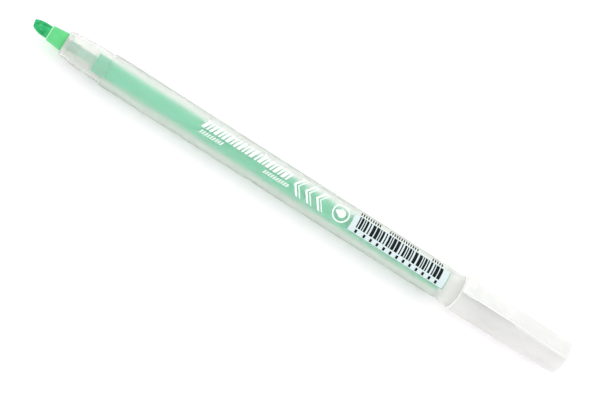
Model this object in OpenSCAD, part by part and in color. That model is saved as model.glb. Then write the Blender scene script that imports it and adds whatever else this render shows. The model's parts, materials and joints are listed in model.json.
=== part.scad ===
// Slim stick highlighter with a chisel nib, lying on its side with its cap pushed onto its tail.
// The pen lies along X with the nib towards -X, the clip points up, and the origin is on the
// surface it lies on, under its middle. Stations along the pen are counted from the nib's tip.

/* [Nib] */
// Length of nib that stands out of the collar
nib_out = 4.45; // [4:0.05:6]
// Diameter of the nib where it leaves the collar
nib_d = 3.25; // [3.2:0.05:3.5]
// Thickness of the writing edge
nib_edge = 0.6; // [0.4:0.1:1.2]
// Slant of the writing edge, in degrees
nib_slant = 8; // [0:1:15]
// Diameter of the rod behind the nib
rod_d = 2.4; // [2.2:0.1:3]

/* [Nib holder] */
// Length of collar that stands out of the barrel
collar_len = 4.3; // [4:0.1:6]
// Diameter of the collar at its front
collar_front_d = 4; // [3.9:0.05:4.4]
// Diameter of the collar where it goes into the barrel
collar_back_d = 4.85; // [4.6:0.05:5.1]

/* [Barrel] */
// Diameter of the plain barrel
barrel_d = 8.7; // [8.6:0.05:8.75]
// Wall of the plain barrel
barrel_wall = 0.9; // [0.7:0.1:1]
// Length of the tapering neck
neck_len = 12.05; // [12:0.05:16]
// Diameter of the neck's mouth
mouth_d = 6.4; // [6.2:0.1:6.6]
// Length of the full-width part that a holder can grip, behind the neck
grip_len = 25; // [15:0.5:26]
// Length of the plain barrel between its two steps
body_len = 106.3; // [95:0.1:120]
// Diameter of the neck and of the tail at the two steps
step_d = 8; // [7.9:0.02:8.1]
// Length of the tail that the cap covers past the step
tail_len = 10.8; // [10:0.1:12]

/* [Ink reservoir] */
// Diameter of the fibre core
core_d = 4.7; // [4.5:0.1:4.8]
// Thickness of the film round the core
film_t = 0.1; // [0.05:0.05:0.15]
// Length of the film
film_len = 102.5; // [92:0.1:104]

/* [Label] */
// Length of the sticker along the barrel
label_len = 28.4; // [20:0.1:32]
// Angle round the barrel that the sticker covers, in degrees
label_sweep = 95; // [60:5:120]
// Thickness of the sticker
label_t = 0.06; // [0.04:0.01:0.1]

/* [Cap] */
// Length of the cap
cap_len = 32.85; // [31:0.05:34]
// Diameter of the cap at its open rim
cap_rim_d = 9.7; // [9.65:0.05:10]
// Diameter of the cap at its closed end
cap_end_d = 8.84; // [8.8:0.02:9]
// Depth of the rim that reaches over the plain barrel
rim_depth = 4.15; // [3:0.05:5]
// Radial play between the cap and the barrel
cap_play = 0.05; // [0.03:0.01:0.08]

/* [Clip] */
// Width of the clip
clip_w = 3.9; // [3.4:0.1:4.2]
// Thickness of the clip's arm
clip_t = 1.1; // [0.9:0.1:1.2]
// Gap between the clip's arm and the cap's rim
clip_gap = 0.55; // [0.4:0.05:0.8]
// Height of the lip at the clip's free end above the arm
clip_lip = 1.1; // [0.6:0.1:1.4]
// Length of the arm that is free to flex
clip_free_len = 16.2; // [14:0.1:17]

/* [Hidden] */
fine = 96;          // segments of every turned surface
tiny = 0.01;        // a cut runs this far past the face it opens

// Stations along the pen, from the nib's tip.
x_collar = nib_out;
x_mouth = x_collar + collar_len;
x_shoulder = x_mouth + neck_len;
x_grip_end = x_shoulder + grip_len;
x_tail_step = x_shoulder + body_len;
x_tail = x_tail_step + tail_len;
x_rim = x_tail_step - rim_depth;
x_end = x_rim + cap_len;
axis_z = cap_rim_d / 2;

// Radii of the barrel.
barrel_r = barrel_d / 2;
draft = 0.02;               // the barrel is this much slimmer behind the grip, in radius
draft_len = 0.6;            // length over which it slims
body_r = barrel_r - draft;
bore_r = barrel_r - barrel_wall;
step_r = step_d / 2;
neck_wall = 0.8;
edge_bevel = 0.2;

// Nib and holder.
nib_r = nib_d / 2;
rod_r = rod_d / 2;
nib_shank = 3.2;            // full-width part of the nib inside the collar
press_len = 1.4;            // part of the holder that is pressed into the mouth
sleeve_len = 2.7;           // sleeve behind the pressed part
sleeve_wall = 0.32;
x_press_end = x_mouth + press_len;
x_sleeve_end = x_press_end + sleeve_len;
x_shank_end = x_collar + nib_shank;
vent_w = 0.5;

// Reservoir, which starts just behind the sleeve and ends against the tail plug.
core_r = core_d / 2;
film_r = core_r + film_t;
x_film = x_sleeve_end + 3.65;
x_film_end = x_film + film_len;
core_inset = 0.8;           // the film stands this far past the core at each end
rod_depth = 5.5;            // the rod reaches this far into the core

// Tail plug.
plug_cup_len = 8.6;
plug_wall = 0.85;
flange_t = 0.4;
flange_r = step_r - 0.1;
finger_len = 1.6;           // the plug's ribs reach this far over the reservoir
rib_t = 0.7;
rib_play = 0.12;
x_cup = x_tail - plug_cup_len;

// Inner cap, which seals the neck's mouth when the cap is on the nib.
seal_r = mouth_d / 2 + 0.04;
seal_wall = 0.48;
seal_gap = 0.3;             // from the tail plug's flange to the inner cap
seal_flange_t = 0.9;
seat_play = 0.07;
x_seal = x_tail + flange_t + seal_gap;
cap_end_wall = 1.1;
x_cap_floor = x_end - cap_end_wall;
x_seal_end = x_cap_floor - 0.3;
seal_out_r = seal_r + seal_wall;
seat_r = seal_out_r + seat_play;

// Cap.
rim_r = body_r + cap_play;
sleeve_r = step_r + cap_play;
cap_round = 0.9;            // rounding of the closed end
cap_rim_r = cap_rim_d / 2;
cap_end_r = cap_end_d / 2;
x_seat = x_seal + seal_flange_t + 0.3;

// Clip. Heights are above the pen's axis.
arm_low = cap_rim_r + clip_gap;
arm_top = arm_low + clip_t;
arm_mid = (arm_low + arm_top) / 2;
pivot_r = clip_t / 2;
pivot_play = 0.05;
x_pivot = x_rim + clip_free_len;
lip_len = 3.1;
lip_round = 0.5;
pad_len = 2.6;              // pad under the arm's free end
pad_gap = 0.22;             // from the pad to the cap's rim
root_drop = 0.55;           // fall of the clip's root towards the closed end
root_inset = 0.8;           // the root ends this far before the closed end
root_sink = 0.06;           // wall left between the root's underside and the cap's bore
clip_edge = 0.35;           // bevel along the clip's upper edges

function arc_points(centre, radius, from, to, steps) =
    [for (i = [0 : steps]) let (a = from + (to - from) * i / steps)
        [centre.x + radius * cos(a), centre.y + radius * sin(a)]];

// Radius of the neck's outer surface, a parabola that ends level at the shoulder.
function neck_r(x) =
    let (u = (x_shoulder - x) / neck_len) step_r - (step_r - mouth_d / 2) * u * u;

// A solid of revolution about the pen's axis, from [radius, station] points.
module turned(points) {
    translate([-x_end / 2, 0, axis_z])
        rotate([0, 90, 0])
            rotate_extrude($fn = fine)
                polygon(points);
}

// A plate of the given width across the pen, from [station, height above the axis] points.
module side_plate(points, width) {
    translate([-x_end / 2, width / 2, axis_z])
        rotate([90, 0, 0])
            linear_extrude(width)
                polygon(points);
}

// A bar along the pen, from [across, height above the axis] points.
module long_bar(points, from, to) {
    translate([from - x_end / 2, 0, axis_z])
        rotate([90, 0, 90])
            linear_extrude(to - from)
                polygon(points);
}

// A box centred on the pen's axis and turned about it.
module axis_box(from, to, wide, tall, turn = 0, lift = 0) {
    translate([from - x_end / 2, 0, axis_z])
        rotate([turn, 0, 0])
            translate([0, -wide / 2, lift - tall / 2])
                cube([to - from, wide, tall]);
}

module barrel() {
    neck_steps = 14;
    mouth_bevel = 0.25;
    neck_from = x_mouth + mouth_bevel;
    neck_out = [for (i = [0 : neck_steps])
        let (x = neck_from + (x_shoulder - edge_bevel - neck_from) * i / neck_steps) [neck_r(x), x]];
    inner_from = x_press_end + 0.9;
    neck_in = [for (i = [neck_steps : -1 : 0])
        let (x = inner_from + (x_shoulder - inner_from) * i / neck_steps) [neck_r(x) - neck_wall, x]];
    color([0.87, 0.92, 0.86, 0.5])
        turned(concat(
            [[collar_back_d / 2, x_mouth], [neck_r(neck_from) - mouth_bevel, x_mouth]],
            neck_out,
            [[step_r, x_shoulder], [barrel_r - edge_bevel, x_shoulder], [barrel_r, x_shoulder + edge_bevel],
                [barrel_r, x_grip_end], [body_r, x_grip_end + draft_len],
                [body_r, x_tail_step - edge_bevel], [step_r, x_tail_step],
                [step_r, x_tail - edge_bevel], [step_r - edge_bevel, x_tail], [bore_r, x_tail],
                [bore_r, x_shoulder + 1.2]],
            neck_in,
            [[collar_back_d / 2, x_press_end]]));
}

module nib() {
    wedge_len = 4.2;
    tip_round = nib_edge / 2;
    corner = 0.55;
    half = nib_r + 0.2;
    slant_back = tan(nib_slant) * nib_d;
    // Side view of the chisel: two facets that meet in a round writing edge.
    facets = concat(
        arc_points([tip_round, 0], tip_round, 250, 110, 8),
        [[wedge_len, half], [x_shank_end + tiny, half], [x_shank_end + tiny, -half], [wedge_len, -half]]);
    // Plan view: the edge is slanted and its corners are round.
    plan = concat(
        arc_points([corner, nib_r - corner - 0.12], corner, 180 + nib_slant, 75, 8),
        [[wedge_len * 0.6, half], [x_shank_end + tiny, half], [x_shank_end + tiny, -half],
            [wedge_len * 0.6, -half]],
        arc_points([corner + slant_back, -nib_r + corner + 0.12], corner, 285, 180 + nib_slant, 8));
    color([0.2, 0.74, 0.45]) {
        intersection() {
            turned([[0, 0], [nib_r, 0], [nib_r, x_shank_end], [rod_r, x_shank_end],
                [rod_r, x_shank_end + tiny], [0, x_shank_end + tiny]]);
            side_plate(facets, nib_d * 2);
            translate([-x_end / 2, 0, axis_z - nib_d])
                linear_extrude(nib_d * 2)
                    polygon(plan);
        }
        turned([[0, x_shank_end], [rod_r, x_shank_end], [rod_r, x_film + core_inset + rod_depth],
            [0, x_film + core_inset + rod_depth]]);
    }
}

module nib_holder() {
    rim_bevel = 0.15;
    sleeve_out_r = rod_r + sleeve_wall;
    vents = 4;
    color([0.41, 0.88, 0.55])
        difference() {
            turned([[nib_r, x_collar], [collar_front_d / 2 - rim_bevel, x_collar],
                [collar_front_d / 2, x_collar + rim_bevel], [collar_back_d / 2, x_mouth],
                [collar_back_d / 2, x_press_end], [sleeve_out_r, x_press_end],
                [sleeve_out_r, x_sleeve_end], [rod_r, x_sleeve_end], [rod_r, x_shank_end],
                [nib_r, x_shank_end]]);
            // Air grooves along the pressed part.
            for (i = [0 : vents - 1])
                axis_box(x_mouth, x_press_end + tiny, vent_w, 1, 45 + i * 360 / vents, collar_back_d / 2 + 0.25);
            // Two slots that let the sleeve grip the rod.
            for (side = [0, 180])
                axis_box(x_sleeve_end - 2.3, x_sleeve_end + tiny, vent_w, 2, side, rod_r + 1 - 0.05);
        }
}

module ink_reservoir() {
    color([0.5, 0.85, 0.66])
        turned([[rod_r, x_film + core_inset], [core_r, x_film + core_inset],
            [core_r, x_film_end - core_inset], [0, x_film_end - core_inset],
            [0, x_film + core_inset + rod_depth], [rod_r, x_film + core_inset + rod_depth]]);
}

module reservoir_film() {
    color([0.8, 0.93, 0.86, 0.6])
        turned([[core_r, x_film], [film_r, x_film], [film_r, x_film_end], [core_r, x_film_end]]);
}

module tail_plug() {
    cup_r = bore_r - plug_wall;
    finger_r = film_r + rib_play;
    rib_r = bore_r - rib_play;
    x_rib = x_film_end + 0.1;
    color([0.9, 0.92, 0.9, 0.7]) {
        turned([[0, x_cup], [bore_r, x_cup], [bore_r, x_tail], [flange_r, x_tail],
            [flange_r, x_tail + flange_t], [cup_r, x_tail + flange_t], [cup_r, x_cup + plug_wall],
            [0, x_cup + plug_wall]]);
        difference() {
            intersection() {
                union() {
                    for (turn = [0, 90])
                        axis_box(x_rib - finger_len, x_cup + tiny, rib_t, bore_r * 2, turn);
                }
                turned([[0, x_rib - finger_len], [rib_r, x_rib - finger_len], [rib_r, x_cup + tiny],
                    [0, x_cup + tiny]]);
            }
            turned([[0, x_rib - finger_len - tiny], [finger_r, x_rib - finger_len - tiny],
                [finger_r, x_rib], [0, x_rib]]);
        }
    }
}

module label() {
    label_mid = 2;          // the sticker's middle, in degrees from straight up towards -Y
    gap_to_rim = 4.25;
    x_label_end = x_rim - gap_to_rim;
    color([0.95, 0.96, 0.95])
        translate([-x_end / 2, 0, axis_z])
            rotate([0, 90, 0])
                rotate([0, 0, 180 + label_mid - label_sweep / 2])
                    rotate_extrude(angle = label_sweep, $fn = fine)
                        polygon([[body_r, x_label_end - label_len], [body_r + label_t, x_label_end - label_len],
                            [body_r + label_t, x_label_end], [body_r, x_label_end]]);
}

module inner_cap() {
    lip_lead = 0.3;
    flange_out = sleeve_r - seat_play;
    color([0.92, 0.94, 0.92, 0.6])
        turned([[seal_r + lip_lead, x_seal], [flange_out, x_seal], [flange_out, x_seal + seal_flange_t],
            [seal_out_r, x_seal + seal_flange_t], [seal_out_r, x_seal_end], [0, x_seal_end],
            [0, x_seal_end - seal_wall], [seal_r, x_seal_end - seal_wall], [seal_r, x_seal + lip_lead * 2]]);
}

// Cross-section of the clip, with bevelled upper edges.
module clip_section(from, to, top) {
    half = clip_w / 2;
    long_bar([[-half, 0], [half, 0], [half, top - clip_edge], [half - clip_edge, top],
        [clip_edge - half, top], [-half, top - clip_edge]], from, to);
}

module cap() {
    root_end = x_end - root_inset;
    color([0.93, 0.95, 0.93, 0.5]) {
        turned(concat(
            [[rim_r + edge_bevel, x_rim], [cap_rim_r - edge_bevel, x_rim], [cap_rim_r, x_rim + edge_bevel]],
            arc_points([cap_end_r - cap_round, x_end - cap_round], cap_round, 0, 90, 8),
            [[0, x_end], [0, x_cap_floor], [seat_r, x_cap_floor], [seat_r, x_seat], [sleeve_r, x_seat],
                [sleeve_r, x_tail_step + 0.4], [rim_r, x_tail_step + 0.1], [rim_r, x_rim + edge_bevel]]));
        // Root of the clip, hollowed at its front where the arm bends.
        difference() {
            intersection() {
                side_plate(concat(
                    [[x_pivot, sleeve_r + root_sink], [x_pivot, arm_top]],
                    arc_points([root_end - cap_round, arm_top - root_drop - cap_round], cap_round, 88, 0, 8),
                    [[root_end, seat_r + root_sink], [x_seat + root_sink, seat_r + root_sink],
                        [x_seat + root_sink, sleeve_r + root_sink]]), clip_w);
                clip_section(x_pivot, root_end + tiny, arm_top);
            }
            translate([x_pivot - x_end / 2, 0, axis_z + arm_mid])
                rotate([90, 0, 0])
                    cylinder(r = pivot_r + pivot_play, h = clip_w + 1, center = true, $fn = fine);
        }
    }
}

module clip() {
    x_lip_end = x_rim + lip_len;
    lip_top = arm_top + clip_lip;
    pad_low = cap_rim_r + pad_gap;
    x_pad = x_rim + 1.5;
    color([0.95, 0.96, 0.94, 0.6])
        intersection() {
            side_plate(concat(
                arc_points([x_pivot, arm_mid], pivot_r, 90, -90, 16),
                [[x_pad + pad_len + 0.8, arm_low], [x_pad + pad_len, pad_low], [x_pad, pad_low],
                    [x_rim + 0.3, arm_low + 0.3]],
                arc_points([x_rim + lip_round, lip_top - lip_round], lip_round, 180, 60, 8),
                [[x_lip_end - 0.7, arm_top + 0.25], [x_lip_end, arm_top]]), clip_w);
            clip_section(x_rim - tiny, x_pivot + pivot_r + tiny, lip_top);
        }
}

barrel();
nib();
nib_holder();
ink_reservoir();
reservoir_film();
tail_plug();
label();
inner_cap();
cap();
clip();
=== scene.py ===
"""Looks of a slim stick highlighter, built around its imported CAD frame.

Along the pen, places are stations in millimetres from the nib's tip. Round the pen, places are
angles from straight up, towards the side that the camera looks from. Names in capitals that end
in _R are radii in millimetres.
"""

import json
import math

import bmesh
import bpy
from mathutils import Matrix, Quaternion, Vector


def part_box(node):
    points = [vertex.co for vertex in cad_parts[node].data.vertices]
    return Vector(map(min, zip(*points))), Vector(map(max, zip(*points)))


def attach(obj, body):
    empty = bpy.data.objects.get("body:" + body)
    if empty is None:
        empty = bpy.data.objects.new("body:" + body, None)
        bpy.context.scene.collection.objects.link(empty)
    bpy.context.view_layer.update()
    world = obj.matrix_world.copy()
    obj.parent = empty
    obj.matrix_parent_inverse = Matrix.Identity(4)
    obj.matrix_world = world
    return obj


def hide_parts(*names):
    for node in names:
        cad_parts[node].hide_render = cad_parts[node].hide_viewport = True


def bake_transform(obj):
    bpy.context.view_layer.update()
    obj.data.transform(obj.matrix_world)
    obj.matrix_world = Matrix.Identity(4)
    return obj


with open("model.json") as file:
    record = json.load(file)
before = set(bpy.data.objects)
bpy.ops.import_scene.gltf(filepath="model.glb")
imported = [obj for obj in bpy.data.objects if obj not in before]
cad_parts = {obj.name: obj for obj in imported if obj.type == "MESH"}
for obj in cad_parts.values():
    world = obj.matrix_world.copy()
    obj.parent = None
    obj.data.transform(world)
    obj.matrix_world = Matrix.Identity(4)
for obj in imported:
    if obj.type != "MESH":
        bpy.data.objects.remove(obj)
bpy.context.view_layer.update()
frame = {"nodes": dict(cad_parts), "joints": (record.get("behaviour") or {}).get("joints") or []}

MM = 0.001
TIP_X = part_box("nib")[0].x
AXIS_Z = (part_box("barrel")[0].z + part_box("barrel")[1].z) / 2


def station_of(x):
    """Station in millimetres of a place along X in metres."""
    return (x - TIP_X) / MM


def ends_of(node):
    """Stations of a node's front and back."""
    low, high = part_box(node)
    return station_of(low.x), station_of(high.x)


def outer_radius(node):
    """Largest height of a node above the pen's axis, in millimetres."""
    return (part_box(node)[1].z - AXIS_Z) / MM


# Stations of the frame's own features.
MOUTH, TAIL = ends_of("barrel")
RIM, CAP_END = ends_of("cap")
CORE_START, CORE_END = ends_of("ink_reservoir")
FILM_START, FILM_END = ends_of("reservoir_film")
LABEL_START, LABEL_END = ends_of("label")
COLLAR_START = ends_of("nib_holder")[0]
PIVOT = station_of(next(j for j in frame["joints"] if j["name"] == "clip_flex")["pos_m"][0])

# The barrel's neck, its straight grip and the stepped tail that the cap goes on.
NECK_LENGTH = 12.05
GRIP_LENGTH = 25
TAIL_LENGTH = 10.8
SHOULDER = MOUTH + NECK_LENGTH
TAIL_STEP = TAIL - TAIL_LENGTH

# Radii. Behind the grip the barrel is thinner by a draft, and the cap is wider than the tail by its play.
GRIP_R = outer_radius("barrel")
DRAFT = 0.02
BODY_R = GRIP_R - DRAFT
STEP_R = 4.0
BORE_R = 3.46
MOUTH_R = 3.2
CORE_R = outer_radius("ink_reservoir")
FILM_R = outer_radius("reservoir_film")
CAP_RIM_R = (AXIS_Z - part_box("cap")[0].z) / MM
CAP_END_R = 4.42
CAP_PLAY = 0.05
LIP_TOP = outer_radius("clip")

# The rod behind the nib, which reaches into the core.
ROD_R = 1.2
ROD_END = CORE_START + 5.5

SEGMENTS = 144


# ---------------------------------------------------------------- camera


def make_camera():
    """Camera high above the pen's side, a little towards the nib.

    It is rolled so that the pen runs from one corner of the picture to the other.
    """
    aim = Vector((-0.72, -1.86, 4.85)) * MM
    azimuth = math.radians(-19.03)
    elevation = math.radians(59.85)
    roll = math.radians(49.07)
    distance = 416.7 * MM
    back = Vector(
        (
            math.sin(azimuth) * math.cos(elevation),
            -math.cos(azimuth) * math.cos(elevation),
            math.sin(elevation),
        )
    )
    data = bpy.data.cameras.new("camera")
    data.sensor_width = 36
    data.lens = 102
    data.clip_start = 0.01
    data.clip_end = 20
    camera = bpy.data.objects.new("camera", data)
    bpy.context.scene.collection.objects.link(camera)
    camera.location = aim + back * distance
    camera.rotation_mode = "QUATERNION"
    camera.rotation_quaternion = (-back).to_track_quat("-Z", "Y") @ Quaternion((0, 0, 1), roll)
    bpy.context.scene.camera = camera


make_camera()


# ---------------------------------------------------------------- mesh helpers


def place(station, radius, angle):
    """Point in metres at a station and radius in millimetres and an angle in radians."""
    return Vector(
        (
            TIP_X + station * MM,
            -radius * MM * math.sin(angle),
            AXIS_Z + radius * MM * math.cos(angle),
        )
    )


def smooth(value, low, high):
    """0 below low, 1 above high, and an S curve between them."""
    u = min(max((value - low) / (high - low), 0), 1)
    return u * u * (3 - 2 * u)


def hump(value, rise, full, fall, gone):
    """1 from full to fall and 0 outside rise and gone, with S curves between them."""
    return smooth(value, rise, full) * (1 - smooth(value, fall, gone))


def rounded(points):
    """A closed outline from (station, radius) points.

    A third number in a point rounds that corner by an arc of that radius.
    """
    steps = 5
    out = []
    for i, point in enumerate(points):
        here = Vector(point[:2])
        if len(point) < 3:
            out.append(here)
            continue
        to_before = (Vector(points[i - 1][:2]) - here).normalized()
        to_after = (Vector(points[(i + 1) % len(points)][:2]) - here).normalized()
        half = to_before.angle(to_after) / 2
        centre = here + (to_before + to_after).normalized() * point[2] / math.sin(half)
        start = here + to_before * point[2] / math.tan(half) - centre
        end = here + to_after * point[2] / math.tan(half) - centre
        sweep = math.atan2(start.x * end.y - start.y * end.x, start.dot(end))
        for k in range(steps + 1):
            a = sweep * k / steps
            spoke = Vector(
                (
                    start.x * math.cos(a) - start.y * math.sin(a),
                    start.x * math.sin(a) + start.y * math.cos(a),
                )
            )
            out.append(centre + spoke)
    return out


def show(bm, name, look):
    """Puts a bmesh in the scene as an object with one material."""
    mesh = bpy.data.meshes.new(name)
    bm.to_mesh(mesh)
    bm.free()
    mesh.materials.append(look)
    piece = bpy.data.objects.new(name, mesh)
    bpy.context.scene.collection.objects.link(piece)
    return piece


def finish_mesh(bm, name, look, sharp_angle=32.0):
    """Shows a bmesh with smooth faces, and creases where it turns by more than the sharp angle."""
    bmesh.ops.remove_doubles(bm, verts=bm.verts, dist=1e-8)
    bmesh.ops.recalc_face_normals(bm, faces=bm.faces)
    for face in bm.faces:
        face.smooth = True
    limit = math.radians(sharp_angle)
    for edge in bm.edges:
        edge.smooth = len(edge.link_faces) == 2 and edge.calc_face_angle(0) < limit
    return show(bm, name, look)


def lathe(name, outline, look, bore_look=None, bore_radius=None):
    """A closed solid of revolution from a closed outline of (station, radius) points.

    Faces nearer to the axis than bore_radius(station) get bore_look.
    """
    on_axis = 1e-4
    turns = [math.tau * k / SEGMENTS for k in range(SEGMENTS)]
    bm = bmesh.new()
    rings = []
    for station, radius in outline:
        if radius < on_axis:
            rings.append([bm.verts.new(place(station, 0, 0))])
        else:
            rings.append([bm.verts.new(place(station, radius, turn)) for turn in turns])
    for a, b in zip(rings, rings[1:] + rings[:1]):
        for k in range(SEGMENTS):
            n = (k + 1) % SEGMENTS
            corners = [a[k % len(a)], a[n % len(a)], b[n % len(b)], b[k % len(b)]]
            corners = list(dict.fromkeys(corners))
            if len(corners) > 2:
                bm.faces.new(corners)
    if bore_look is not None:
        for face in bm.faces:
            middle = face.calc_center_median()
            radius = math.hypot(middle.y, middle.z - AXIS_Z) / MM
            face.material_index = int(radius < bore_radius(station_of(middle.x)))
    piece = finish_mesh(bm, name, look)
    if bore_look is not None:
        piece.data.materials.append(bore_look)
    return piece


def wrapped(name, shapes, lift, look):
    """A sheet round the barrel, lifted off it by a part of a millimetre.

    Its flat outlines are lists of (station, millimetres round the barrel) points. They are cut into
    narrow strips, so that they follow the barrel when they are wrapped round it.
    """
    strip = 0.22
    bm = bmesh.new()
    for shape in shapes:
        bm.faces.new([bm.verts.new((p[0], p[1], 0)) for p in shape])
    bmesh.ops.triangulate(bm, faces=bm.faces)
    low = min(v.co.y for v in bm.verts)
    high = max(v.co.y for v in bm.verts)
    for k in range(1, math.ceil((high - low) / strip)):
        bmesh.ops.bisect_plane(
            bm,
            geom=bm.verts[:] + bm.edges[:] + bm.faces[:],
            dist=1e-5,
            plane_co=(0, low + k * strip, 0),
            plane_no=(0, 1, 0),
        )
    for v in bm.verts:
        v.co = place(v.co.x, BODY_R + lift, v.co.y / BODY_R)
    for face in bm.faces:
        face.smooth = True
        face.normal_update()
        middle = face.calc_center_median()
        if face.normal.dot(Vector((0, middle.y, middle.z - AXIS_Z))) < 0:
            face.normal_flip()
    return show(bm, name, look)


# ---------------------------------------------------------------- look helpers


class Look:
    """A material with a Principled shader and short ways to feed it."""

    def __init__(self, name, **fixed):
        self.material = bpy.data.materials.new(name)
        self.material.use_nodes = True
        self.tree = self.material.node_tree
        self.tree.nodes.clear()
        self.shader = self.node("ShaderNodeBsdfPrincipled")
        self.link(self.shader.outputs[0], self.node("ShaderNodeOutputMaterial").inputs["Surface"])
        for socket, value in fixed.items():
            self.shader.inputs[socket.replace("_", " ")].default_value = value
        self.where = self.node("ShaderNodeTexCoord").outputs["Object"]

    def node(self, kind, **settings):
        """A new node of a kind, with its settings."""
        made = self.tree.nodes.new(kind)
        for name, value in settings.items():
            setattr(made, name, value)
        return made

    def link(self, source, target):
        """Joins two sockets."""
        self.tree.links.new(source, target)

    def feed(self, socket, source):
        """Joins a value or colour to one of the shader's sockets."""
        self.link(source, self.shader.inputs[socket])

    def noise(self, scale, stretch=(1, 1, 1), detail=3.0, roughness=0.5):
        """Noise with a scale per millimetre. A stretch below 1 draws it out along that axis."""
        mapping = self.node("ShaderNodeMapping")
        mapping.inputs["Scale"].default_value = [s / MM for s in stretch]
        self.link(self.where, mapping.inputs["Vector"])
        made = self.node("ShaderNodeTexNoise")
        made.inputs["Scale"].default_value = scale
        made.inputs["Detail"].default_value = detail
        made.inputs["Roughness"].default_value = roughness
        self.link(mapping.outputs[0], made.inputs["Vector"])
        return made.outputs["Fac"]

    def along(self):
        """Station in millimetres."""
        split = self.node("ShaderNodeSeparateXYZ")
        self.link(self.where, split.inputs[0])
        made = self.node("ShaderNodeMapRange", clamp=False)
        made.inputs["From Min"].default_value = TIP_X
        made.inputs["From Max"].default_value = TIP_X + MM
        self.link(split.outputs["X"], made.inputs["Value"])
        return made.outputs["Result"]

    def ramp(self, value, stops):
        """Colour from (level, colour) stops for a value."""
        made = self.node("ShaderNodeValToRGB")
        elements = made.color_ramp.elements
        while len(elements) < len(stops):
            elements.new(0.5)
        for element, (at, colour) in zip(elements, stops):
            element.position = at
            element.color = (*colour, 1)
        self.link(value, made.inputs["Fac"])
        return made.outputs["Color"]

    def tones(self, value, low_tone, high_tone):
        """Colour between two close tones, over the middle of a noise's levels."""
        return self.ramp(value, [(0.3, low_tone), (0.7, high_tone)])

    def blended(self, value, first, second):
        """First colour where a value is 0, and second colour where it is 1.

        Inputs 6 and 7 of a Mix node are its two colours.
        """
        made = self.node("ShaderNodeMix", data_type="RGBA")
        self.link(value, made.inputs[0])
        self.link(first, made.inputs[6])
        self.link(second, made.inputs[7])
        return made.outputs[2]

    def spread(self, value, low, high, from_low=0.0, from_high=1.0):
        """A value carried from one range to another, and held at its ends."""
        made = self.node("ShaderNodeMapRange")
        made.inputs["From Min"].default_value = from_low
        made.inputs["From Max"].default_value = from_high
        made.inputs["To Min"].default_value = low
        made.inputs["To Max"].default_value = high
        self.link(value, made.inputs["Value"])
        return made.outputs["Result"]

    def maths(self, operation, a, b):
        """Sum, difference or product of two values, of which either may be a number."""
        made = self.node("ShaderNodeMath", operation=operation)
        for socket, value in zip(made.inputs, (a, b)):
            if isinstance(value, (int, float)):
                socket.default_value = value
            else:
                self.link(value, socket)
        return made.outputs[0]

    def bump(self, height, depth_mm, strength):
        """Relief from a height of 0 to 1, as deep as the millimetres say."""
        made = self.node("ShaderNodeBump")
        made.inputs["Strength"].default_value = strength
        made.inputs["Distance"].default_value = depth_mm * MM
        self.link(height, made.inputs["Height"])
        self.feed("Normal", made.outputs[0])


# ---------------------------------------------------------------- looks


def frosted_barrel():
    """Frosted plastic: smoother on the neck, rough on the body, and milkier behind the core, partly as
    painted light that brightens the shade ahead of the cap's rim.
    """
    look = Look("frosted_polypropylene", IOR=1.45)
    along = look.along()
    cloud = look.noise(0.35, (0.4, 1, 1), 4)
    grain = look.noise(14, detail=4, roughness=0.65)

    neck_tone = look.tones(cloud, (0.92, 0.935, 0.888), (0.945, 0.96, 0.915))
    body_tone = look.tones(cloud, (0.945, 0.962, 0.912), (0.965, 0.977, 0.937))
    behind_neck = look.spread(along, 0, 1, SHOULDER - 1, SHOULDER)
    look.feed("Base Color", look.blended(behind_neck, neck_tone, body_tone))

    body_rough = look.spread(along, 0.24, 0.55, SHOULDER - 0.6, SHOULDER + 0.8)
    tail_smooth = look.spread(along, 0, 0.42, CORE_END, TAIL_STEP)
    rough = look.maths("SUBTRACT", body_rough, tail_smooth)
    look.feed("Roughness", look.maths("ADD", rough, look.spread(grain, -0.05, 0.05)))

    body_clear = look.spread(along, 0.87, 0.93, SHOULDER - 0.6, SHOULDER + 0.8)
    # Behind the core the wall turns milkier and less solid. Part of it is painted light: it brightens the
    # shade on the tail ahead of the cap's rim.
    tail_milk_and_light = look.spread(along, 0, -0.62, CORE_END - 0.5, CORE_END + 2)
    mouth_milk = look.spread(along, -0.2, 0, MOUTH + 0.6, MOUTH + 1.6)
    clear = look.maths("ADD", look.maths("ADD", body_clear, tail_milk_and_light), mouth_milk)
    look.feed("Transmission Weight", look.maths("ADD", clear, look.spread(cloud, -0.03, 0.03)))

    solid = look.spread(along, 1, 0.7, CORE_END - 1.5, CORE_END + 1.5)
    look.feed("Alpha", look.maths("ADD", solid, look.spread(cloud, -0.04, 0.04)))
    look.bump(grain, 0.004, 0.4)
    return look.material


def smooth_bore():
    """Smooth inner walls, mostly see-through behind the core so that nested walls don't turn grey."""
    look = Look("smooth_bore", IOR=1.4, Transmission_Weight=0.985)
    wave = look.noise(0.5, (0.2, 1, 1), 3)
    look.feed("Base Color", look.tones(wave, (0.985, 0.998, 0.985), (0.995, 1, 0.99)))
    look.feed("Roughness", look.spread(wave, 0.02, 0.06))
    look.feed("Alpha", look.spread(look.along(), 1, 0.2, CORE_END - 1.5, CORE_END + 1.5))
    look.bump(wave, 0.01, 0.2)
    return look.material


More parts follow.
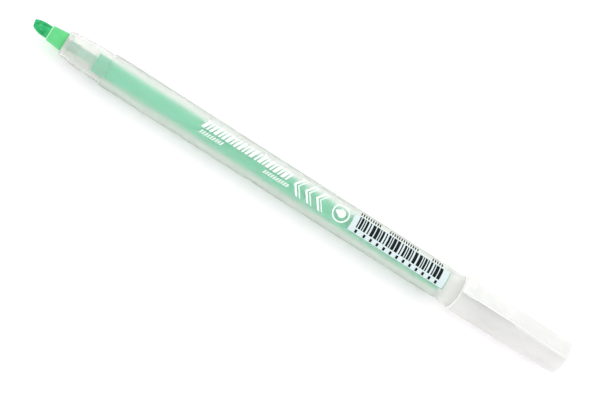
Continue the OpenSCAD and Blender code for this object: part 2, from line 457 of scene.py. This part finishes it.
def fibre_nib():
    """Pressed fibre with ink in it, and the paler rod behind it."""
    look = Look("fibre_nib", IOR=1.4, Specular_IOR_Level=0.25)
    strands = look.noise(3.2, (0.16, 1, 1), 5, 0.6)
    soak = look.noise(1.1, (0.7, 1, 1), 3)
    both = look.maths("ADD", look.maths("MULTIPLY", strands, 0.6), look.maths("MULTIPLY", soak, 0.4))
    wet = look.ramp(
        both,
        [(0.36, (0.008, 0.26, 0.07)), (0.5, (0.026, 0.41, 0.135)), (0.64, (0.09, 0.6, 0.25))],
    )
    pale = look.tones(strands, (0.5, 0.8, 0.68), (0.62, 0.88, 0.76))
    inside = look.spread(look.along(), 0, 1, MOUTH - 0.6, MOUTH + 0.2)
    look.feed("Base Color", look.blended(inside, wet, pale))
    look.feed("Roughness", look.spread(strands, 0.5, 0.8))
    look.bump(strands, 0.06, 0.8)
    return look.material


def green_collar():
    """Bright green plastic with a painted highlight, a paler green, along its front rim. Its sleeve inside
    the barrel is a thin veil.
    """
    look = Look(
        "green_collar", IOR=1.45, Specular_IOR_Level=0.3, Subsurface_Weight=0.2, Subsurface_Scale=0.0006
    )
    along = look.along()
    flow = look.noise(1.1, (0.25, 1, 1), 3)
    fine = look.noise(11, detail=4)
    green = look.tones(flow, (0.11, 0.6, 0.215), (0.14, 0.66, 0.25))
    pale = look.tones(flow, (0.78, 0.92, 0.84), (0.86, 0.96, 0.9))
    # shine is a painted highlight: a paler green laid along the collar's front rim.
    shine = look.tones(flow, (0.5, 0.88, 0.6), (0.58, 0.92, 0.66))
    painted_rim_light = look.spread(along, 1, 0, COLLAR_START + 0.08, COLLAR_START + 0.3)
    inside = look.spread(along, 0, 1, MOUTH + 0.05, MOUTH + 0.3)
    look.feed("Base Color", look.blended(inside, look.blended(painted_rim_light, green, shine), pale))
    look.feed("Alpha", look.spread(inside, 1, 0.2))
    look.feed("Roughness", look.spread(fine, 0.36, 0.5))
    look.bump(fine, 0.003, 0.4)
    return look.material


def ink_core():
    """Fibre core full of ink, with strands along it."""
    look = Look("ink_core", Specular_IOR_Level=0.2)
    strands = look.noise(4.5, (0.04, 1, 1), 5, 0.62)
    green = look.ramp(
        strands,
        [(0.25, (0.1, 0.76, 0.46)), (0.55, (0.14, 0.83, 0.52)), (0.8, (0.2, 0.89, 0.59))],
    )
    look.feed("Base Color", green)
    look.feed("Roughness", look.spread(strands, 0.6, 0.85))
    look.bump(strands, 0.03, 0.5)
    return look.material


def clear_film():
    """Film round the core, nearly invisible."""
    look = Look("clear_film", IOR=1.5)
    crinkle = look.noise(0.7, (0.3, 1, 1), 3)
    look.feed("Base Color", look.tones(crinkle, (0.9, 0.97, 0.93), (0.96, 0.99, 0.97)))
    look.feed("Roughness", look.spread(crinkle, 0.1, 0.25))
    look.feed("Alpha", look.spread(crinkle, 0.04, 0.1))
    look.bump(crinkle, 0.01, 0.3)
    return look.material


def milky_plastic():
    """Milky plastic of the tail plug and the inner cap, seen through the cap."""
    look = Look("milky_polypropylene", IOR=1.25, Transmission_Weight=0.6)
    cloud = look.noise(0.6, detail=3)
    fine = look.noise(12, detail=4)
    look.feed("Base Color", look.tones(cloud, (0.99, 0.975, 0.975), (1, 0.985, 0.985)))
    look.feed("Roughness", look.spread(fine, 0.1, 0.2))
    look.feed("Alpha", look.spread(cloud, 0.4, 0.52))
    look.bump(fine, 0.004, 0.4)
    return look.material


def cap_plastic(name, tone, clear, rough, veil):
    """Translucent plastic of the cap and the clip. Along the front rim it is less see-through and so
    whiter: painted light that hides the shade in the gap where the cap meets the barrel.
    """
    look = Look(name, IOR=1.3)
    cloud = look.noise(0.4, (0.5, 1, 1), 4)
    fine = look.noise(10, detail=4, roughness=0.6)
    # Painted light: the front rim loses see-through and gains body, so the shade at the rim doesn't show
    # as a dark line.
    painted_rim_light = look.spread(look.along(), 0.22, 0, RIM + 0.1, RIM + 0.45)
    low_tone = (tone - 0.02, tone - 0.012, tone - 0.03)
    high_tone = (tone - 0.002, tone + 0.004, tone - 0.012)
    look.feed("Base Color", look.tones(cloud, low_tone, high_tone))
    look.feed("Transmission Weight", look.maths("SUBTRACT", clear, painted_rim_light))
    look.feed("Roughness", look.spread(fine, rough - 0.05, rough + 0.06))
    look.feed("Alpha", look.maths("ADD", painted_rim_light, look.spread(cloud, veil - 0.06, veil + 0.06)))
    look.bump(fine, 0.004, 0.45)
    return look.material


def clip_edge():
    """Painted highlight along the clip's sides: pale opaque plastic that stands in for the light their
    edge catches.
    """
    look = Look("clip_edge", IOR=1.3)
    fine = look.noise(10, detail=4, roughness=0.6)
    look.feed("Base Color", look.tones(fine, (0.9, 0.91, 0.89), (0.93, 0.94, 0.92)))
    look.feed("Roughness", look.spread(fine, 0.3, 0.4))
    look.bump(fine, 0.003, 0.4)
    return look.material


def white_ink():
    """White ink of the barrel's marks, a little uneven."""
    look = Look("white_ink", IOR=1.45)
    speck = look.noise(9, detail=4)
    look.feed("Base Color", look.ramp(speck, [(0.3, (0.92, 0.95, 0.93)), (0.6, (0.98, 0.99, 0.98))]))
    look.feed("Roughness", look.spread(speck, 0.35, 0.55))
    look.bump(speck, 0.003, 0.5)
    return look.material


def label_white():
    """White block printed on the label, behind its marks."""
    look = Look("label_white", IOR=1.5, Specular_IOR_Level=0.4)
    speck = look.noise(2.2, detail=4)
    look.feed("Base Color", look.tones(speck, (0.63, 0.735, 0.75), (0.68, 0.78, 0.795)))
    look.feed("Roughness", look.spread(speck, 0.38, 0.5))
    look.bump(speck, 0.004, 0.4)
    return look.material


def label_black():
    """Black ink of the label's marks."""
    look = Look("label_black", IOR=1.45, Specular_IOR_Level=0.08)
    speck = look.noise(12, detail=4)
    look.feed("Base Color", look.tones(speck, (0.006, 0.008, 0.008), (0.014, 0.017, 0.017)))
    look.feed("Roughness", look.spread(speck, 0.4, 0.55))
    look.bump(speck, 0.002, 0.4)
    return look.material


def label_film():
    """Clear film that the label is printed on."""
    look = Look("label_film", IOR=1.5)
    ripple = look.noise(0.5, (0.5, 1, 1), 2)
    look.feed("Base Color", look.tones(ripple, (0.92, 0.96, 0.93), (0.96, 0.985, 0.96)))
    look.feed("Roughness", look.spread(ripple, 0.12, 0.24))
    look.feed("Alpha", look.spread(ripple, 0.08, 0.16))
    look.bump(ripple, 0.006, 0.3)
    return look.material


def label_edge_shadow():
    """Painted shadow: a dark green border of the label, where its film lies on the barrel beside the white
    block.
    """
    look = Look("label_edge_shadow", IOR=1.45)
    shadow_mottle = look.noise(1.5, detail=4)
    look.feed("Base Color", look.tones(shadow_mottle, (0.1, 0.42, 0.28), (0.16, 0.52, 0.36)))
    look.feed("Roughness", look.spread(shadow_mottle, 0.25, 0.4))
    look.feed("Alpha", look.spread(shadow_mottle, 0.35, 0.6))
    look.bump(shadow_mottle, 0.004, 0.3)
    return look.material


def floor_look():
    """Pale paper that glows a little, so that it stays white round a soft shadow."""
    look = Look(
        "studio_floor", Specular_IOR_Level=0.0, Emission_Color=(1, 1, 1, 1), Emission_Strength=0.23
    )
    tooth = look.noise(0.8, detail=4)
    look.feed("Base Color", look.tones(tooth, (0.865, 0.842, 0.864), (0.885, 0.862, 0.882)))
    look.feed("Roughness", look.spread(tooth, 0.85, 0.95))
    return look.material


FROSTED = frosted_barrel()
NIB = fibre_nib()
COLLAR = green_collar()
CORE = ink_core()
FILM = clear_film()
MILKY = milky_plastic()
BORE = smooth_bore()
CAP_CLEAR = cap_plastic("cap_polypropylene", tone=0.97, clear=0.4, rough=0.3, veil=0.8)
# The clip's copy of the cap's plastic is a little whiter and milkier: painted light on the clip, which
# lies along the lit top.
CAP_BAND_LIT = cap_plastic("clip_polypropylene_lit", tone=0.98, clear=0.3, rough=0.3, veil=0.85)
# Painted highlight for the clip's sides.
CAP_EDGE_HIGHLIGHT = clip_edge()
INK = white_ink()
PAPER = label_white()
BLACK = label_black()
GLOSS = label_film()
EDGE_SHADOW = label_edge_shadow()


# ---------------------------------------------------------------- nib


def make_nib():
    """Chisel nib, lofted from a flat slanted edge to a round shank, and the rod behind it."""
    shank_r = 1.625
    shank_end = COLLAR_START + 3.2
    taper = 3.7
    tip_width = 0.93
    tip_thick = 0.3
    slant = 0.2
    side_shift = 0.1
    width_growth = 0.75
    thickness_growth = 0.9
    squareness = 1.3
    count = 48
    edge_rows = 5
    edge_flat = 0.6
    taper_rows = 22

    # Rows of (station, pull of the sides, part of the thickness): first the round edge, then the taper.
    # The first row stands a little past the tip, so that the edge keeps a narrow flat.
    rows = []
    for k in range(edge_rows):
        turn = math.pi / 2 * (k + edge_flat) / edge_rows
        rows.append((tip_thick * (1 - math.cos(turn)), tip_thick * (math.sin(turn) - 1), math.sin(turn)))
    for k in range(taper_rows + 1):
        rows.append((tip_thick + (taper - tip_thick) * k / taper_rows, 0.0, 1.0))

    bm = bmesh.new()
    rings = []
    for station, pull, thin in rows:
        u = min(station / taper, 1)
        grown = math.sin(u * math.pi / 2)
        wide = tip_width + (shank_r - tip_width) * grown**width_growth + pull
        thick = (tip_thick + (shank_r - tip_thick) * grown**thickness_growth) * thin
        power = 2 / (2 + squareness * (1 - u))
        ring = []
        for i in range(count):
            a = math.tau * i / count
            y = wide * math.copysign(abs(math.sin(a)) ** power, math.sin(a))
            z = thick * math.copysign(abs(math.cos(a)) ** power, math.cos(a))
            x = station + slant * (tip_width - y) * (1 - u) ** 1.5
            y += side_shift * (1 - u) ** 2
            ring.append(bm.verts.new((TIP_X + x * MM, y * MM, AXIS_Z + z * MM)))
        rings.append(ring)
    for station, radius in ((shank_end, shank_r), (shank_end, ROD_R), (ROD_END, ROD_R)):
        rings.append([bm.verts.new(place(station, radius, -math.tau * i / count)) for i in range(count)])
    for a, b in zip(rings, rings[1:]):
        for i in range(count):
            n = (i + 1) % count
            bm.faces.new((a[i], a[n], b[n], b[i]))
    bm.faces.new(rings[0])
    bm.faces.new(rings[-1])
    piece = finish_mesh(bm, "chisel_nib", NIB, 40)
    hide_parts("nib")
    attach(piece, "pen")


make_nib()


# ---------------------------------------------------------------- barrel


def neck_radius(station):
    """Outer radius of the neck, which curves in from the shoulder to the mouth."""
    u = (SHOULDER - station) / (SHOULDER - MOUTH)
    return STEP_R - (STEP_R - MOUTH_R) * u * u


def make_barrel():
    """Tube with a neck that holds the collar, a straight grip and a stepped tail."""
    press_r = 2.435
    press_end = MOUTH + 1.4
    mouth_ease = 0.02
    mouth_round = 0.2
    mouth_length = 0.6
    step_round = 0.16
    grip_fade = 0.6
    neck_wall = 0.8
    neck_bore_start = press_end + 0.9
    bore_start = SHOULDER + 1.2
    bore_skin = 0.3
    steps = 16

    outline = [(MOUTH, press_r), (MOUTH, MOUTH_R - mouth_ease, mouth_round)]
    for k in range(1, steps):
        x = MOUTH + mouth_length + (NECK_LENGTH - mouth_length) * k / steps
        outline.append((x, neck_radius(x)))
    outline += [
        (SHOULDER, STEP_R),
        (SHOULDER, GRIP_R, step_round),
        (SHOULDER + GRIP_LENGTH, GRIP_R),
        (SHOULDER + GRIP_LENGTH + grip_fade, BODY_R),
        (TAIL_STEP, BODY_R, step_round),
        (TAIL_STEP, STEP_R),
        (TAIL, STEP_R, step_round),
        (TAIL, BORE_R),
        (bore_start, BORE_R),
    ]
    for k in range(steps, -1, -1):
        x = neck_bore_start + (SHOULDER - neck_bore_start) * k / steps
        outline.append((x, neck_radius(x) - neck_wall))
    outline.append((press_end, press_r))

    def bore_radius(station):
        return neck_radius(min(station, SHOULDER)) - bore_skin

    piece = lathe("barrel_shell", rounded(outline), FROSTED, BORE, bore_radius)
    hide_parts("barrel")
    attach(piece, "pen")


make_barrel()


# ---------------------------------------------------------------- ink reservoir


def make_reservoir():
    """Fibre core, bored at the front for the nib's rod, and the film sleeve round it."""
    gap = 0.02
    core_round = 0.12
    core = lathe(
        "fibre_core",
        rounded(
            [
                (CORE_START, ROD_R + gap),
                (CORE_START, CORE_R - gap, core_round),
                (CORE_END, CORE_R - gap, core_round),
                (CORE_END, 0),
                (ROD_END, 0),
                (ROD_END, ROD_R + gap),
            ]
        ),
        CORE,
    )
    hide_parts("ink_reservoir")
    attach(core, "pen")
    film = lathe(
        "film_sleeve",
        [(FILM_START, CORE_R + gap), (FILM_START, FILM_R), (FILM_END, FILM_R), (FILM_END, CORE_R + gap)],
        FILM,
    )
    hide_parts("reservoir_film")
    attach(film, "pen")


make_reservoir()


# ---------------------------------------------------------------- cap and clip


def make_cap():
    """Round cap with a closed end and a bore in three steps: for the body, the tail and the inner cap."""
    body_bore_r = BODY_R + CAP_PLAY
    tail_bore_r = STEP_R + CAP_PLAY
    seat_r = 3.79
    seat = TAIL + 1.9
    floor = CAP_END - 1.1
    step_start = TAIL_STEP + 0.1
    step_end = TAIL_STEP + 0.4
    mouth_round = 0.12
    rim_round = 0.3
    end_round = 0.9
    floor_round = 0.2
    skin = 0.1

    def bore_radius(station):
        return tail_bore_r + skin if station < floor + skin else 0

    piece = lathe(
        "cap_shell",
        rounded(
            [
                (RIM, body_bore_r, mouth_round),
                (RIM, CAP_RIM_R, rim_round),
                (CAP_END, CAP_END_R, end_round),
                (CAP_END, 0),
                (floor, 0),
                (floor, seat_r, floor_round),
                (seat, seat_r),
                (seat, tail_bore_r),
                (step_end, tail_bore_r),
                (step_start, body_bore_r),
            ]
        ),
        CAP_CLEAR,
        BORE,
        bore_radius,
    )
    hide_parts("cap")
    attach(piece, "cap")


make_cap()


def cap_radius(station):
    """Outer radius of the cap, which narrows evenly to its end."""
    return CAP_RIM_R + (CAP_END_R - CAP_RIM_R) * (station - RIM) / (CAP_END - RIM)


def clip_rows():
    """Side view of the clip from its lip to its root, as rows of four values in millimetres.

    A row has its station, the heights of the underside and the top above the pen's axis, and half
    the clip's width. The lip is high, with a pad under it and a shallow notch behind it, and the arm
    falls to its root. Rows stand close where the shape changes and where the clip bends.
    """
    under = 5.4
    pad_under = 5.07
    arm_top = 6.5
    lip_half = 2.1
    arm_half = 1.95
    end = CAP_END - 0.8
    corner_rows = 6
    fine_step = 0.16
    coarse_step = 0.8

    front = RIM + 0.02
    front_round = 0.5
    front_lift = 0.25
    front_narrow = 0.3
    rows = []
    for k in range(corner_rows + 1):
        a = math.pi / 2 * k / corner_rows
        short = 1 - math.sin(a)
        x = front + front_round * (1 - math.cos(a))
        low = under + front_lift * short
        top = LIP_TOP - front_round * short
        rows.append((x, low, top, lip_half - front_narrow * short))

    lip_slope = (RIM + 2.3, RIM + 3.1)
    narrowing = (RIM + 2.5, RIM + 3.1)
    pad = (RIM + 1.3, RIM + 1.6, RIM + 4.1, RIM + 4.9)
    notch = (RIM + 3.0, RIM + 3.3, RIM + 3.9, RIM + 4.3)
    notch_depth = 0.16
    root_drop = 0.5
    end_round = 0.9
    while x < end - end_round:
        x += fine_step if x < RIM + 5 or abs(x - PIVOT) < 2 else coarse_step
        top = LIP_TOP - (LIP_TOP - arm_top) * smooth(x, *lip_slope)
        top -= notch_depth * hump(x, *notch)
        top -= root_drop * smooth(x, PIVOT, end)
        low = under - (under - pad_under) * hump(x, *pad)
        half = lip_half - (lip_half - arm_half) * smooth(x, *narrowing)
        rows.append((x, low, top, half))

    end_narrow = 0.25
    last_x, last_low, last_top = rows[-1][:3]
    for k in range(1, corner_rows + 1):
        a = math.pi / 2 * k / corner_rows
        short = 1 - math.cos(a)
        x = last_x + (end - last_x) * math.sin(a)
        rows.append((x, last_low, last_top - end_round * short, arm_half - end_narrow * short))
    return rows


def make_clip():
    """Clip, in one piece from its lip to its root on the cap, baked in place and attached to no body; the
    real arm bends where it leaves the cap.
    """
    across = 8
    corner = 4
    corner_r = 0.35
    bright_strip = 0.5
    sink = 0.04
    root_blend = 0.7
    bm = bmesh.new()
    rings = []
    for station, under, top, half in clip_rows():
        rooted = smooth(station, PIVOT - root_blend, PIVOT + root_blend)
        ring = []
        for i in range(across + 1):
            y = -half + 2 * half * i / across
            seat = math.sqrt(cap_radius(station) ** 2 - y * y) - sink
            ring.append((y, under + (seat - under) * rooted))
        ring.append((half, top - corner_r - bright_strip))
        for side in (1, -1):
            for k in range(corner + 1):
                turn = k if side > 0 else corner - k
                a = math.pi / 2 * turn / corner
                y = side * (half - corner_r + corner_r * math.cos(a))
                ring.append((y, top - corner_r + corner_r * math.sin(a)))
        ring.append((-half, top - corner_r - bright_strip))
        rings.append([bm.verts.new((TIP_X + station * MM, y * MM, AXIS_Z + z * MM)) for y, z in ring])
    count = len(rings[0])
    # The faces of these side strips get the painted highlight.
    bright_sides = (across + 1, count - 2)
    for a, b in zip(rings, rings[1:]):
        for i in range(count):
            n = (i + 1) % count
            face = bm.faces.new((a[i], a[n], b[n], b[i]))
            face.material_index = int(i in bright_sides)
    bm.faces.new(rings[0])
    bm.faces.new(rings[-1])
    piece = finish_mesh(bm, "clip_band", CAP_BAND_LIT, 50)
    piece.data.materials.append(CAP_EDGE_HIGHLIGHT)
    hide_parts("clip")
    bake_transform(piece)


make_clip()


# ---------------------------------------------------------------- CAD nodes that stay


for node, look in {"nib_holder": COLLAR, "tail_plug": MILKY, "inner_cap": MILKY}.items():
    frame["nodes"][node].data.materials[0] = look


# ---------------------------------------------------------------- print and label


def arc_of(degrees):
    """Millimetres round the barrel for an angle from straight up."""
    return math.radians(degrees) * BODY_R


def bar(start, end, low, high, lean=0.0):
    """A bar, which leans if asked."""
    push = lean * (high - low)
    return [(start + push, low), (end + push, low), (end, high), (start, high)]


def stripes(start, end, low, high, widths, gap, lean):
    """Leaning stripes whose widths repeat."""
    out = []
    x = start
    while x + min(widths) < end:
        width = widths[len(out) % len(widths)]
        out.append(bar(x, x + width, low, high, lean))
        x += width + gap
    return out


def chevron(x, low, high, depth, line):
    """An arrow head that points to the nib."""
    middle = (low + high) / 2
    mitre = line * 1.1
    return [
        (x + depth, low),
        (x + depth + line, low),
        (x + mitre, middle),
        (x + depth + line, high),
        (x + depth, high),
        (x, middle),
    ]


def flat_ring(x, y, outer, inner):
    """A flat ring, as a list of short pieces."""
    count = 44
    out = []
    for k in range(count):
        a = math.tau * k / count
        b = math.tau * (k + 1) / count
        ends = ((outer, a), (outer, b), (inner, b), (inner, a))
        out.append([(x + radius * math.cos(turn), y + radius * math.sin(turn)) for radius, turn in ends])
    return out


def drop(x, y, radius):
    """An ink drop: a round with a point towards the nib."""
    count = 24
    skipped = 3
    point = 1.75 * radius
    out = [(x - point, y)]
    for k in range(skipped, count - skipped + 1):
        a = math.tau * k / count
        out.append((x - radius * math.cos(a), y + radius * math.sin(a)))
    return out


def make_print():
    """White marks on the barrel: rows of leaning stripes, three double chevrons and a ring with a drop."""
    lean = 0.5
    low, high = arc_of(-14), arc_of(20)
    gap = 0.42
    shapes = []
    for start, end, widths in ((46.6, 60.6, (0.9, 0.5, 0.7)), (61.6, 71.6, (0.5, 0.9))):
        shapes += stripes(start, end, low, high, widths, gap, lean)
    low, high = arc_of(27), arc_of(40)
    fine_stripe = 0.34
    fine_gap = 0.38
    for start, end in ((46.9, 53.5), (65.1, 72.0)):
        shapes += stripes(start, end, low, high, (fine_stripe,), fine_gap, lean)

    low, high = -1.4, 3.6
    depth = 1.9
    thick_line = 0.6
    thin_line = 0.3
    twin_shift = 1.15
    pitch = 3.2
    for k in range(3):
        x = 73.2 + pitch * k
        shapes.append(chevron(x, low, high, depth, thick_line))
        shapes.append(chevron(x + twin_shift, low, high, depth, thin_line))

    badge = 87.0
    height = 1.13
    outer_r = 2.32
    inner_r = 1.98
    drop_r = 1.05
    drop_shift = 0.15
    shapes += flat_ring(badge, height, outer_r, inner_r)
    shapes.append(drop(badge + drop_shift, height, drop_r))
    ink_lift = 0.012
    piece = wrapped("print_marks", shapes, ink_lift, INK)
    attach(piece, "pen")


make_print()


def label_bars(start, end, low, high):
    """Upright bars whose widths and gaps follow a plain formula, so that they encode nothing."""
    unit = 0.264
    out = []
    x = start
    k = 0
    while x < end:
        width = unit * (1.3 + (k * k + 3 * k) % 7 % 3)
        gap = unit * (0.95 + (2 * k * k + k) % 5 % 3 * 0.8)
        out.append(bar(x, x + width, low, high))
        x += width + gap
        k += 1
    return out


def make_label():
    """Label: clear film, a white block with bars, squares and strokes, and a dark green border that is a
    painted shadow.
    """
    film_low, film_high = arc_of(-45.5), arc_of(49.5)
    block_low, block_high = arc_of(-16), arc_of(47.6)
    block_end = LABEL_END - 0.28
    film_lift = 0.03
    edge_shadow_lift = 0.035
    block_lift = 0.04
    ink_lift = 0.05
    film = wrapped("label_film", [bar(LABEL_START, LABEL_END, film_low, film_high)], film_lift, GLOSS)
    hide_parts("label")
    block = wrapped("label_block", [bar(LABEL_START, block_end, block_low, block_high)], block_lift, PAPER)
    # The border along the block's lower side and back end is a painted shadow.
    border = [
        bar(LABEL_START, LABEL_END, block_high, film_high),
        bar(block_end, LABEL_END, block_low, block_high),
    ]
    edge_shadow = wrapped("label_edge_shadow", border, edge_shadow_lift, EDGE_SHADOW)

    bars_start, bars_end = 91.8, 116.6
    shapes = label_bars(bars_start, bars_end, arc_of(-13.8), arc_of(28))
    squares = 13
    square = 0.62
    pitch = 1.94
    first_apart = 0.5
    low, high = arc_of(33), arc_of(44.5)
    for k in range(squares):
        x = 92.1 + pitch * k + (first_apart if k > 0 else 0)
        shapes.append(bar(x, x + square, low, high))
    stroke = 0.32
    gap = 0.36
    lean = 0.1
    low, high = arc_of(-34), arc_of(-19)
    for start, end in ((91.7, 97.9), (100.2, 109.3), (113.0, bars_end)):
        shapes += stripes(start, end, low, high, (stroke,), gap, lean)
    marks = wrapped("label_marks", shapes, ink_lift, BLACK)
    for piece in (film, block, edge_shadow, marks):
        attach(piece, "pen")


make_label()


# ---------------------------------------------------------------- floor and light


def make_floor():
    """Floor just under the front of the grip and the cap's rim, which is the lower of the two."""
    span = 0.9
    clearance = 0.02
    slope = (CAP_RIM_R - GRIP_R) / (RIM - SHOULDER)
    bm = bmesh.new()
    corners = []
    for x, y in ((-span, -span), (span, -span), (span, span), (-span, span)):
        height = (RIM - station_of(x)) * slope - clearance
        corners.append(bm.verts.new((x, y, height * MM)))
    bm.faces.new(corners)
    piece = finish_mesh(bm, "studio_floor", floor_look())


make_floor()


def make_softbox():
    """Large soft light above and behind the pen, aimed at its middle."""
    place_at = Vector((0.0, 0.35, 0.5))
    data = bpy.data.lights.new("back_softbox", "AREA")
    data.shape = "RECTANGLE"
    data.size = 0.7
    data.size_y = 0.35
    data.energy = 0.5
    light = bpy.data.objects.new("back_softbox", data)
    bpy.context.scene.collection.objects.link(light)
    light.location = place_at
    light.rotation_mode = "QUATERNION"
    light.rotation_quaternion = (-place_at).to_track_quat("-Z", "Y")


make_softbox()


def make_world():
    """Even white light from all round, shown without a film curve."""
    world = bpy.data.worlds.new("studio")
    world.use_nodes = True
    background = world.node_tree.nodes["Background"]
    background.inputs["Color"].default_value = (1, 1, 1, 1)
    background.inputs["Strength"].default_value = 1.12
    bpy.context.scene.world = world
    bpy.context.scene.view_settings.view_transform = "Standard"


make_world()


def allow_deep_light():
    """Lets light pass through the nested walls of the cap, the tail and the plug before it is cut off."""
    cycles = bpy.context.scene.cycles
    cycles.max_bounces = 128
    cycles.transmission_bounces = 128
    cycles.glossy_bounces = 128
    cycles.diffuse_bounces = 64
    cycles.transparent_max_bounces = 16


allow_deep_light()
